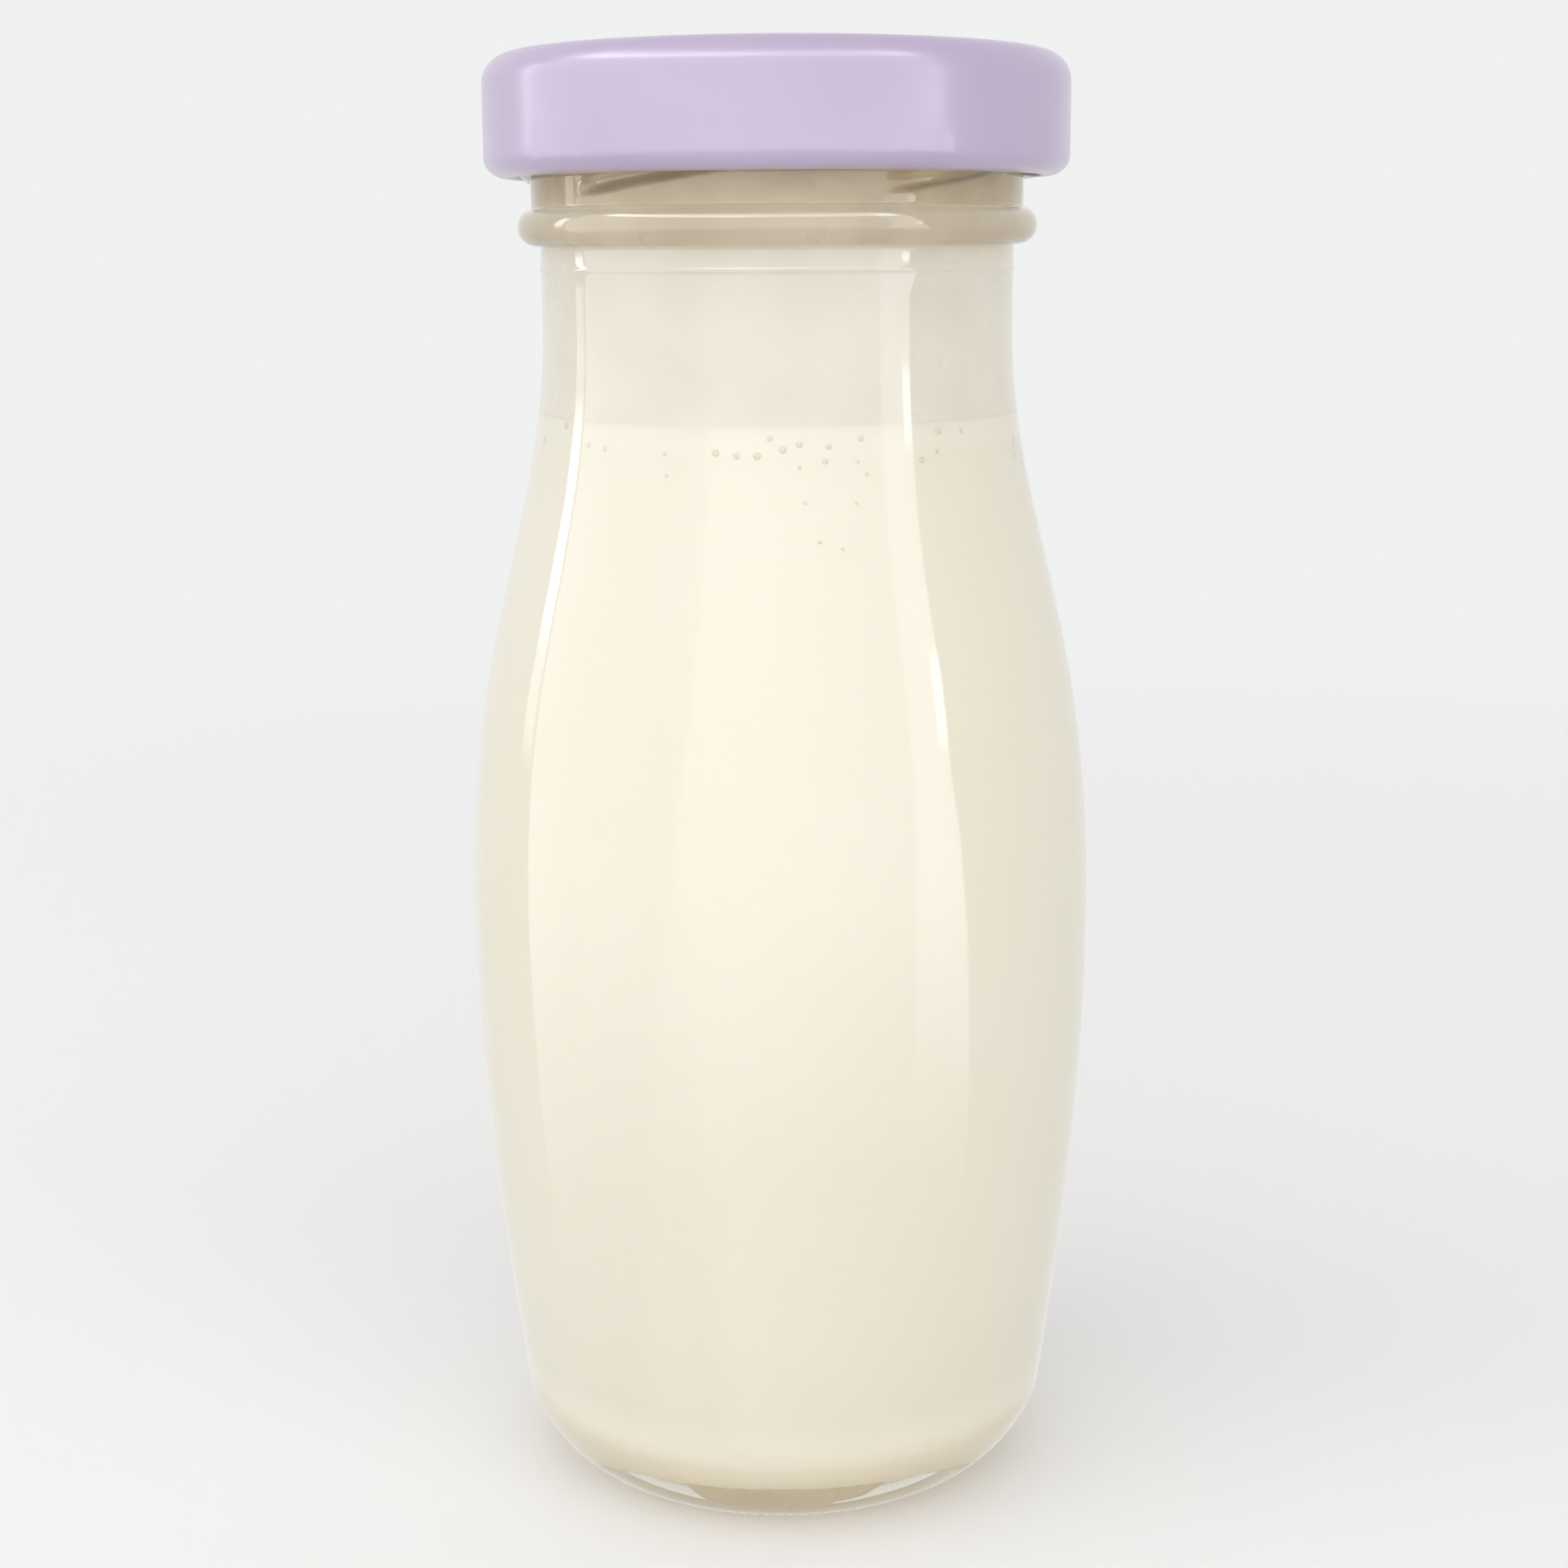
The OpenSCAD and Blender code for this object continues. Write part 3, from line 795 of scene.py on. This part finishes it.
# %% Film of milk
def film_of_milk():
    """The drained film: nearly as pale as the milk low down, and a darker tan under the cap, which is
    painted shade of the cap's overhang. The light that comes through from behind it is a faint glow,
    which fades where it turns tan."""
    material, nodes, link, shader = new_material("milk_film")
    fresh = add_clouding(nodes, link, 160.0, srgb(246, 240, 228), srgb(241, 234, 220), 0.25, 0.4)
    cap_shaded_tan = add_clouding(nodes, link, 260.0, srgb(238, 215, 176), srgb(222, 197, 156), 0.25, 0.4)
    # Painted shade: the film turns tan under the cap, where the cap's overhang shades it.
    under_cap_shade = between_heights(nodes, link, bead_z - 3 * MM, bead_top + 2 * MM)
    tone = blend(nodes, link, under_cap_shade, fresh.outputs["Color"], cap_shaded_tan.outputs["Color"])
    link(tone, shader.inputs["Base Color"])
    link(fresh.outputs["Value"], shader.inputs["Roughness"])
    glow = blend(nodes, link, under_cap_shade, (0.055, 0.050, 0.043, 1.0), BLACK)
    link(glow, shader.inputs["Emission Color"])
    shader.inputs["Emission Strength"].default_value = 1.0
    add_unevenness(nodes, link, shader, 300.0, 0.0001)
    return material


# %% Sealing compound
def seal_compound():
    """Soft cured compound, off-white and finely grained."""
    material, nodes, link, shader = new_material("seal_compound")
    cloud = add_clouding(nodes, link, 400.0, srgb(236, 231, 216), srgb(228, 222, 205), 0.45, 0.6)
    link(cloud.outputs["Color"], shader.inputs["Base Color"])
    link(cloud.outputs["Value"], shader.inputs["Roughness"])
    shader.inputs["Subsurface Weight"].default_value = 0.15
    shader.inputs["Subsurface Scale"].default_value = 0.001
    add_unevenness(nodes, link, shader, 1500.0, 0.00005)
    return material


# %% Lacquer
def lilac_lacquer():
    """Glossy lilac lacquer outside and pale gold-white lacquer inside, told apart by the mask."""
    material, nodes, link, shader = new_material("lilac_lacquer")
    lilac = add_clouding(nodes, link, 90.0, srgb(173, 159, 186), srgb(169, 155, 182), 0.3, 0.38)
    pale = add_clouding(nodes, link, 250.0, srgb(226, 214, 186), srgb(219, 205, 174), 0.3, 0.4)
    tone = blend(nodes, link, stored_mask(nodes, "inside"), lilac.outputs["Color"],
                 pale.outputs["Color"])
    link(tone, shader.inputs["Base Color"])
    link(lilac.outputs["Value"], shader.inputs["Roughness"])
    shader.inputs["Specular IOR Level"].default_value = 0.25
    shader.inputs["Coat Weight"].default_value = 0.6
    shader.inputs["Coat Roughness"].default_value = 0.19
    add_unevenness(nodes, link, shader, 700.0, 0.00001)
    return material


# %% Give each piece its finish
milk_white = (srgb(248, 242, 228), srgb(247, 240, 224))
bottle_glass.data.materials.append(clear_glass())
milk_body.data.materials.append(
    milky("milk", *milk_white, 30.0, 0.3, 0.00002, 0.35, seeping=(0.22, 0.20, 0.155, 1)))
milk_film.data.materials.append(film_of_milk())
milk_bubbles.data.materials.append(
    milky("bubbles", srgb(249, 241, 222), srgb(245, 236, 214), 900.0, 0.15, 0.00001, 0.2))
sealing_ring.data.materials.append(seal_compound())
lug_cap.data.materials.append(lilac_lacquer())
print("finishes:", ", ".join(sorted(material.name for material in bpy.data.materials)))

# %% [markdown]
# ## Floor, background and light
# The bottle stands on a pale floor that turns into a pale background with no edge between them.
# Rays that come straight from the camera, or by way of gloss or glass, see that background at its
# own pale tone, while the light it sheds on the bottle is set apart. Under the bottle the floor
# has a faint olive glow, for the light that real glass gathers there. The softboxes only light the
# bottle. They are hidden from gloss and glass, because what those mirror is made further down.

# %% Background
background_tone = srgb(240, 241, 241)
AMBIENT = 0.63


def pale_world():
    """Seen by camera, gloss or glass rays: the pale tone; by all others: even white light."""
    world = bpy.data.worlds.new("pale_world")
    world.use_nodes = True
    nodes, link = world.node_tree.nodes, world.node_tree.links.new
    light = nodes["Background"]
    light.inputs["Color"].default_value = (1.0, 0.99, 0.97, 1)
    light.inputs["Strength"].default_value = AMBIENT
    seen = nodes.new("ShaderNodeBackground")
    seen.inputs["Color"].default_value = background_tone
    path = nodes.new("ShaderNodeLightPath")
    either = nodes.new("ShaderNodeMath")
    either.operation = "MAXIMUM"
    any_view = nodes.new("ShaderNodeMath")
    any_view.operation = "MAXIMUM"
    swap = nodes.new("ShaderNodeMixShader")
    link(path.outputs["Is Camera Ray"], either.inputs[0])
    link(path.outputs["Is Glossy Ray"], either.inputs[1])
    link(either.outputs["Value"], any_view.inputs[0])
    link(path.outputs["Is Transmission Ray"], any_view.inputs[1])
    link(any_view.outputs["Value"], swap.inputs["Fac"])
    link(light.outputs["Background"], swap.inputs[1])
    link(seen.outputs["Background"], swap.inputs[2])
    link(swap.outputs["Shader"], nodes["World Output"].inputs["Surface"])
    bpy.context.scene.world = world


pale_world()
print("background", [round(value, 3) for value in background_tone[:3]], "ambient", AMBIENT)

# %% Floor material
FLOOR_R = 0.9
FLOOR_Z = -0.05 * MM
FLOOR_RINGS = 24
FLOOR_COLUMNS = 96
FADE_FROM, FADE_TO = 0.14, 0.6
lit_r = 0.7 * bearing_r
floor_out = np.linspace(0, 1, FLOOR_RINGS) ** 2 * FLOOR_R


def pale_floor():
    """A pale matt floor that turns by and by into a glow as bright as the background, which to
    diffuse rays is as bright as the world's light, so that the disc's edge can't be seen."""
    material, nodes, link, shader = new_material("pale_floor")
    shader.inputs["Base Color"].default_value = srgb(230, 230, 231)
    shader.inputs["Roughness"].default_value = 0.6
    shader.inputs["Specular IOR Level"].default_value = 0.2
    coordinates = nodes.new("ShaderNodeTexCoord")
    distance = nodes.new("ShaderNodeVectorMath")
    distance.operation = "LENGTH"
    fade = nodes.new("ShaderNodeMapRange")
    fade.interpolation_type = "SMOOTHSTEP"
    fade.inputs["From Min"].default_value = FADE_FROM
    fade.inputs["From Max"].default_value = FADE_TO
    glow = nodes.new("ShaderNodeEmission")
    glow.inputs["Color"].default_value = background_tone
    path = nodes.new("ShaderNodeLightPath")
    level = nodes.new("ShaderNodeMapRange")
    level.inputs["To Min"].default_value = 1.0
    level.inputs["To Max"].default_value = AMBIENT / background_tone[0]
    link(path.outputs["Is Diffuse Ray"], level.inputs["Value"])
    link(level.outputs["Result"], glow.inputs["Strength"])
    swap = nodes.new("ShaderNodeMixShader")
    link(coordinates.outputs["Object"], distance.inputs[0])
    link(distance.outputs["Value"], fade.inputs["Value"])
    link(fade.outputs["Result"], swap.inputs["Fac"])
    link(shader.outputs["BSDF"], swap.inputs[1])
    link(glow.outputs["Emission"], swap.inputs[2])
    link(swap.outputs["Shader"], nodes["Material Output"].inputs["Surface"])
    under = nodes.new("ShaderNodeMapRange")
    under.interpolation_type = "SMOOTHSTEP"
    under.inputs["From Min"].default_value = bearing_r
    under.inputs["From Max"].default_value = lit_r
    link(distance.outputs["Value"], under.inputs["Value"])
    link(under.outputs["Result"], shader.inputs["Emission Strength"])
    shader.inputs["Emission Color"].default_value = srgb(186, 174, 146)
    material.cycles.emission_sampling = "NONE"
    return material


# %% Floor mesh
floor_angle = 2 * np.pi * np.arange(FLOOR_COLUMNS) / FLOOR_COLUMNS
floor_grid = np.stack([floor_out[1:, None] * np.cos(floor_angle),
                       floor_out[1:, None] * np.sin(floor_angle),
                       np.full((FLOOR_RINGS - 1, FLOOR_COLUMNS), FLOOR_Z)], 2)
floor_index = 1 + np.arange((FLOOR_RINGS - 1) * FLOOR_COLUMNS).reshape(-1, FLOOR_COLUMNS)
floor_next = np.roll(floor_index, -1, 1)
floor = mesh_piece(
    "floor", np.vstack([[(0, 0, FLOOR_Z)], floor_grid.reshape(-1, 3)]),
    np.stack([floor_index[:-1], floor_index[1:], floor_next[1:], floor_next[:-1]],
             2).reshape(-1, 4),
    np.stack([np.zeros(FLOOR_COLUMNS, int), floor_index[0], floor_next[0]], 1))
floor.data.materials.append(pale_floor())
floor.visible_glossy = False


# %% Softboxes
def stand_at(thing, right, up, back, place):
    """Puts an object at a place, with its own x, y and z axes along right, up and back."""
    axes = np.eye(4)
    axes[:3] = np.stack([right, up, back, place], 1)
    thing.matrix_world = Matrix(axes.tolist())


def softbox(name, side_from, side_to, low, high, distance, radiance):
    """A rectangular lamp that fills a window of directions, seen from the bottle: from side_from
    to side_to off the front, and from low to high above level, all in degrees. Its power is
    pi x area x radiance, so radiance is how bright its face would look."""
    lamp = bpy.data.lights.new(name, "AREA")
    lamp.shape = "RECTANGLE"
    lamp.size = 2 * distance * np.tan(np.radians(side_to - side_from) / 2)
    lamp.size_y = 2 * distance * np.tan(np.radians(high - low) / 2)
    lamp.energy = float(np.pi * lamp.size * lamp.size_y * radiance)
    box = bpy.data.objects.new(name, lamp)
    around = np.radians((side_from + side_to) / 2 - 90)
    above = np.radians((low + high) / 2)
    toward = np.array([np.cos(around) * np.cos(above), np.sin(around) * np.cos(above),
                       np.sin(above)])
    side = np.array([-np.sin(around), np.cos(around), 0])
    stand_at(box, side, np.cross(toward, side), toward, (0, 0, lamp_aim_z) + distance * toward)
    box.visible_glossy = False
    box.visible_transmission = False
    box.visible_camera = False
    bpy.context.scene.collection.objects.link(box)


lamp_aim_z = 85 * MM
softbox("side_left", -104, -20, 0, 34, 0.7, 1.18)
softbox("window_front", -17, 65, -6, 28, 0.7, 1.16)
softbox("front_fill", -22, 22, 20, 50, 0.8, 0.45)
softbox("low_front", -70, 40, -6, 6, 0.62, 0.98)
softbox("fill_right", 66, 120, -4, 30, 0.9, 0.36)
softbox("sky_front", -60, 30, 50, 80, 0.9, 0.95)
softbox("back_fill", 130, 230, 10, 50, 0.9, 0.6)

# %% [markdown]
# ## What the gloss mirrors
# Glass and lacquer show the room as a mirror image, so the room's windows are painted on a curved
# screen that only glossy rays can see. Its brightness is a formula of direction: a wide pale window
# from far left to front right that fades out low down, a brighter band at its right edge with one
# glowing patch, a narrow bright slit far to the left, and skylights with a soft glare above them.
# Past its edges it is as bright as the background, so its own outline never shows. Angles are in
# degrees: side_angle off the front, positive to the right, and elevation above level.

# %% Brightness of the screen
SCREEN_R = 0.75
SCREEN_COLUMNS, SCREEN_ROWS = 420, 180
BEYOND = float(background_tone[0])


def soft_between(x, low, high, soft):
    """1 between low and high, easing to 0 over the width soft, centred on each edge."""
    return ease((x - low) / soft + 0.5) * ease((high - x) / soft + 0.5)


side_angle, elevation = np.meshgrid(np.linspace(-130, 90, SCREEN_COLUMNS),
                                    np.linspace(-34, 60, SCREEN_ROWS))
LEFT_EDGE = -104
right_edge = 64.5 + 0.35 * np.maximum(0, -elevation)
fade_low = ease((elevation + 34) / 26)
window = soft_between(side_angle, LEFT_EDGE, right_edge, 1.2) * fade_low
band = soft_between(side_angle, 49, right_edge, 1.2) * fade_low
patch = soft_between(side_angle, 60.5, right_edge, 1.0)
patch *= soft_between(elevation, 3.5, 11, 3)
slit = soft_between(side_angle, -112, -105.5, 1.5)
slit *= 0.3 * soft_between(elevation, -3, 5, 4) + soft_between(elevation, 5, 24, 4)
skylight = soft_between(side_angle, -92, -8, 6) + soft_between(side_angle, 49, 60, 3)
skylight += 0.6 * soft_between(side_angle, -8, 49, 6)
skylight *= soft_between(elevation, 36, 44, 3)
glare = 2.6 * soft_between(side_angle, -92, 60, 8) * soft_between(elevation, 44, 55, 6)
high_up = 1 - ease((elevation - 46) / 10)
panes = 1.75 * window + 1.2 * band + 4.5 * patch + 5.0 * slit + 8.0 * skylight
brightness = BEYOND + high_up * panes + glare
print("brightest patch", round(float(brightness.max()), 1))

# %% Mesh of the screen
around = np.radians(side_angle - 90)
screen_points = np.stack([SCREEN_R * np.cos(around), SCREEN_R * np.sin(around),
                          lamp_aim_z + SCREEN_R * np.tan(np.radians(elevation))], 2).reshape(-1, 3)
cell = np.arange(SCREEN_ROWS * SCREEN_COLUMNS).reshape(SCREEN_ROWS, SCREEN_COLUMNS)
screen = mesh_piece(
    "mirrored_screen", screen_points,
    np.stack([cell[:-1, :-1], cell[:-1, 1:], cell[1:, 1:], cell[1:, :-1]], 2).reshape(-1, 4),
    np.zeros((0, 3), int))
painted = screen.data.attributes.new("brightness", "FLOAT", "POINT")
painted.data.foreach_set("value", brightness.ravel().astype(np.float32))


# %% Shader of the screen
def painted_light():
    """A shader that glows as brightly as the mesh's own attribute says."""
    material = bpy.data.materials.new("painted_light")
    material.use_nodes = True
    material.cycles.emission_sampling = "NONE"
    nodes, link = material.node_tree.nodes, material.node_tree.links.new
    nodes.remove(nodes["Principled BSDF"])
    glow = nodes.new("ShaderNodeEmission")
    level = nodes.new("ShaderNodeAttribute")
    level.attribute_name = "brightness"
    link(level.outputs["Fac"], glow.inputs["Strength"])
    link(glow.outputs["Emission"], nodes["Material Output"].inputs["Surface"])
    return material


screen.data.materials.append(painted_light())
screen.visible_camera = False
screen.visible_diffuse = False
screen.visible_transmission = False
screen.visible_shadow = False

# %% [markdown]
# ## Camera
# The lens is close by, level with the bead, and tilted down, so that the cap is seen from a little
# below and the base from well above. The tilt is built into the camera's own axes.

# %% Camera
IMAGE = 1932
focal_px = 3200
camera_from_axis = 0.231
camera_h = 0.110
camera_aside = 0.0003
tilt_down = np.radians(11.6)
roll = np.radians(-0.34)

lens = bpy.data.cameras.new("camera")
lens.sensor_width = 36
lens.lens = focal_px / IMAGE * lens.sensor_width
lens.clip_start = 0.01
camera = bpy.data.objects.new("camera", lens)
ahead = np.array([0, np.cos(tilt_down), -np.sin(tilt_down)])
level_right = np.array([1.0, 0, 0])
level_up = np.cross(level_right, ahead)
right = np.cos(roll) * level_right + np.sin(roll) * level_up
up = -np.sin(roll) * level_right + np.cos(roll) * level_up
stand_at(camera, right, up, -ahead, (camera_aside, -camera_from_axis, camera_h))
bpy.context.scene.collection.objects.link(camera)
bpy.context.scene.camera = camera
bpy.context.scene.view_settings.view_transform = "Standard"
print("lens", round(lens.lens, 1), "mm, from", camera_from_axis, "m")
